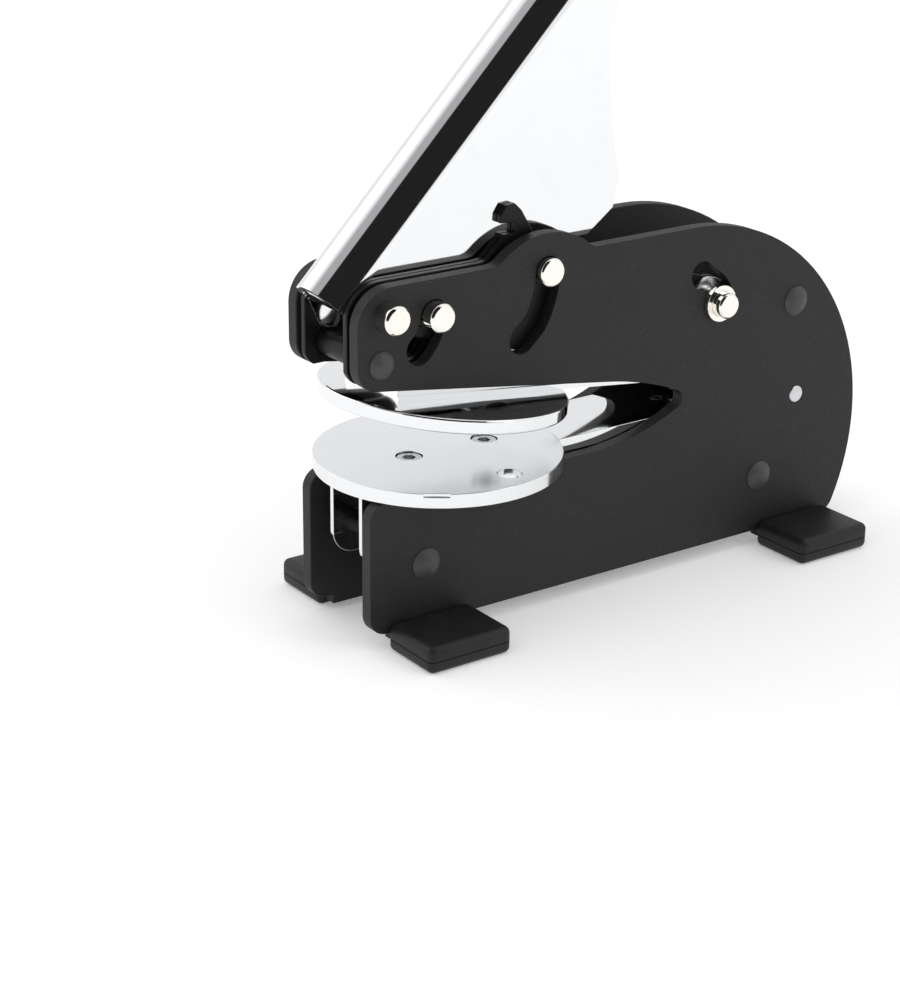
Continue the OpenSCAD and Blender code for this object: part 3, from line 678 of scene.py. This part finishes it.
class EMBOSSER_OT_grip(Dresser, bpy.types.Operator):
    """Moulded grip at the lever's end, with finger grooves round it."""

    bl_idname = "embosser.grip"
    bl_label = "Grip"

    rise: turn("Rise", "Angle of the lever above the floor", math.radians(45.4))
    first: length("First groove", "Distance of the first groove from the grip's mouth", 15 * MM)
    pitch: length("Pitch", "Distance between grooves", 3.4 * MM)
    width: length("Width", "Width of a groove", 1.1 * MM)
    depth: length("Depth", "Depth of a groove", 0.35 * MM)
    count: bpy.props.IntProperty(name="Grooves", description="Number of grooves", default=4, min=0)
    skin: share("Skin", "Share of the grip's half width beyond which a face is of its outer skin", 0.8)

    def execute(self, context):
        axis = Vector((0, math.cos(self.rise), math.sin(self.rise)))
        build = copied("handle_grip")
        build.normal_update()
        ends = [vert.co.dot(axis) for vert in build.verts]
        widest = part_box("handle_grip")[1].x
        middle = sum(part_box("handle_grip"), Vector()) / 2
        centre = middle - axis * middle.dot(axis)

        def outside(face):
            """True for a face of the grip's outer skin, not of the lever's seat inside it."""
            at = face.calc_center_median()
            return (at - axis * at.dot(axis) - centre).length > widest * self.skin

        for index in range(self.count):
            groove(build, axis, min(ends) + self.first + index * self.pitch, self.width, self.depth, outside)
        softened("handle_grip", self.edges.sheet_edge, build=build)
        return {"FINISHED"}


# ---------------------------------------------------------------- floor, light and camera

class EMBOSSER_OT_stage(bpy.types.Operator):
    """Pale floor, soft light and the camera."""

    bl_idname = "embosser.stage"
    bl_label = "Stage"
    bl_options = {"REGISTER", "UNDO"}

    floor_half: bpy.props.FloatProperty(name="Floor", description="Half the floor's side, in metres", default=6.0)

    def execute(self, context):
        self.floor()
        self.room(context)
        for each in LAMPS:
            self.lamp(each)
        self.camera(context)
        return {"FINISHED"}

    def floor(self):
        build = bmesh.new()
        bmesh.ops.create_grid(build, x_segments=2, y_segments=2, size=self.floor_half)
        plane = piece_from(build, "studio_floor")
        plane.data.materials.append(material(studio_floor))

    def room(self, context):
        """A white room; the metal also mirrors its grey and dark parts, on the camera's side."""
        stage = context.scene.embosser_stage
        world = bpy.data.worlds.new("studio")
        world.use_nodes = True
        context.scene.world = world
        board = Board(world.node_tree)
        towards = board.add("ShaderNodeTexCoord", output="Generated")

        def within(card):
            """1 on the card, fading to 0 over its edge."""
            facing = board.add("ShaderNodeVectorMath", {"operation": "DOT_PRODUCT"},
                               {0: towards, 1: tuple(Vector(card.middle).normalized())}, output="Value")
            outer = math.cos(math.radians(card.reach + card.edge))
            return facing.above(edge=outer, width=math.cos(math.radians(card.reach)) - outer)

        shade = board.blend(within(FAR_CARD), WHITE, FAR_SHADE)
        shade = board.blend(within(GREY_CARD), shade, GREY_SHADE)
        shade = board.blend(within(DARK_CARD), shade, (stage.dark_card,) * 3)
        mirrored, white, plain = (
            board.add("ShaderNodeBackground", None, {"Color": light, "Strength": strength})
            for light, strength in ((shade, 1.0), (WHITE, 1.0), (WHITE, stage.sky)))
        lit = chosen(board, ["Is Glossy Ray", "Is Transmission Ray"], plain, mirrored)
        board.raw("ShaderNodeOutputWorld", None, {"Surface": chosen(board, ["Is Camera Ray"], lit, white)})

    def lamp(self, lamp):
        light = bpy.data.lights.new(lamp.name, "AREA")
        light.shape = "DISK"
        light.size = lamp.size
        light.energy = lamp.power
        holder = bpy.data.objects.new(lamp.name, light)
        bpy.context.scene.collection.objects.link(holder)
        holder.location = lamp.at
        holder.visible_glossy = lamp.mirrored
        holder.rotation_euler = (LAMPS_FACE - Vector(lamp.at)).to_track_quat("-Z", "Y").to_euler()

    def camera(self, context):
        stage = context.scene.embosser_stage
        jaw_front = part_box("right_side_plate")[0].y + LOWER_JAW_BACK
        at = Vector(stage.camera_at) + Vector((0, jaw_front, 0))
        view = Vector((-math.sin(stage.yaw) * math.cos(stage.pitch), math.cos(stage.yaw) * math.cos(stage.pitch),
                       -math.sin(stage.pitch)))
        level = view.cross(Vector((0, 0, 1))).normalized()
        right = (level * math.cos(stage.roll) + level.cross(view) * math.sin(stage.roll)).normalized()
        up = right.cross(view)
        data = bpy.data.cameras.new("photo_view")
        data.lens = stage.lens
        data.sensor_width = 36.0
        data.shift_x, data.shift_y = stage.shift
        data.clip_start = 0.01
        eye = bpy.data.objects.new("photo_view", data)
        context.scene.collection.objects.link(eye)
        eye.matrix_world = Matrix((right, up, -view)).transposed().to_4x4()
        eye.location = at
        context.scene.camera = eye


# ---------------------------------------------------------------- panel and registration

class EMBOSSER_PT_panel(bpy.types.Panel):
    """Lists the embosser's sizes, colours and pieces."""

    bl_idname = "EMBOSSER_PT_panel"
    bl_label = "Seal embosser"
    bl_space_type = "VIEW_3D"
    bl_region_type = "UI"
    bl_category = "Embosser"

    def draw(self, context):
        for group in (context.scene.embosser_edges, context.scene.embosser_colours, context.scene.embosser_stage):
            box = self.layout.box()
            for name in group.bl_rna.properties.keys():
                if name not in ("rna_type", "name"):
                    box.prop(group, name)
        for operator in PIECE_OPERATORS:
            self.layout.operator(operator.bl_idname)


PIECE_OPERATORS = (
    EMBOSSER_OT_side_plates, EMBOSSER_OT_liner_plates, EMBOSSER_OT_spacers, EMBOSSER_OT_rivets, EMBOSSER_OT_pins,
    EMBOSSER_OT_links, EMBOSSER_OT_feet, EMBOSSER_OT_lower_die, EMBOSSER_OT_upper_die, EMBOSSER_OT_screws,
    EMBOSSER_OT_spring, EMBOSSER_OT_lever, EMBOSSER_OT_grip, EMBOSSER_OT_stage,
)
GROUPS = {"embosser_edges": EmbosserEdges, "embosser_colours": EmbosserColours, "embosser_stage": EmbosserStage}
CLASSES = (*GROUPS.values(), *PIECE_OPERATORS, EMBOSSER_PT_panel)


def register():
    for each in CLASSES:
        bpy.utils.register_class(each)
    for name, group in GROUPS.items():
        setattr(bpy.types.Scene, name, bpy.props.PointerProperty(type=group))


def unregister():
    for name in GROUPS:
        delattr(bpy.types.Scene, name)
    for each in reversed(CLASSES):
        bpy.utils.unregister_class(each)


def main():
    """Runs every piece's operator."""
    register()
    bpy.context.scene.view_settings.view_transform = "Standard"
    for operator in PIECE_OPERATORS:
        area, name = operator.bl_idname.split(".")
        getattr(getattr(bpy.ops, area), name)()


if __name__ == "__main__":
    main()
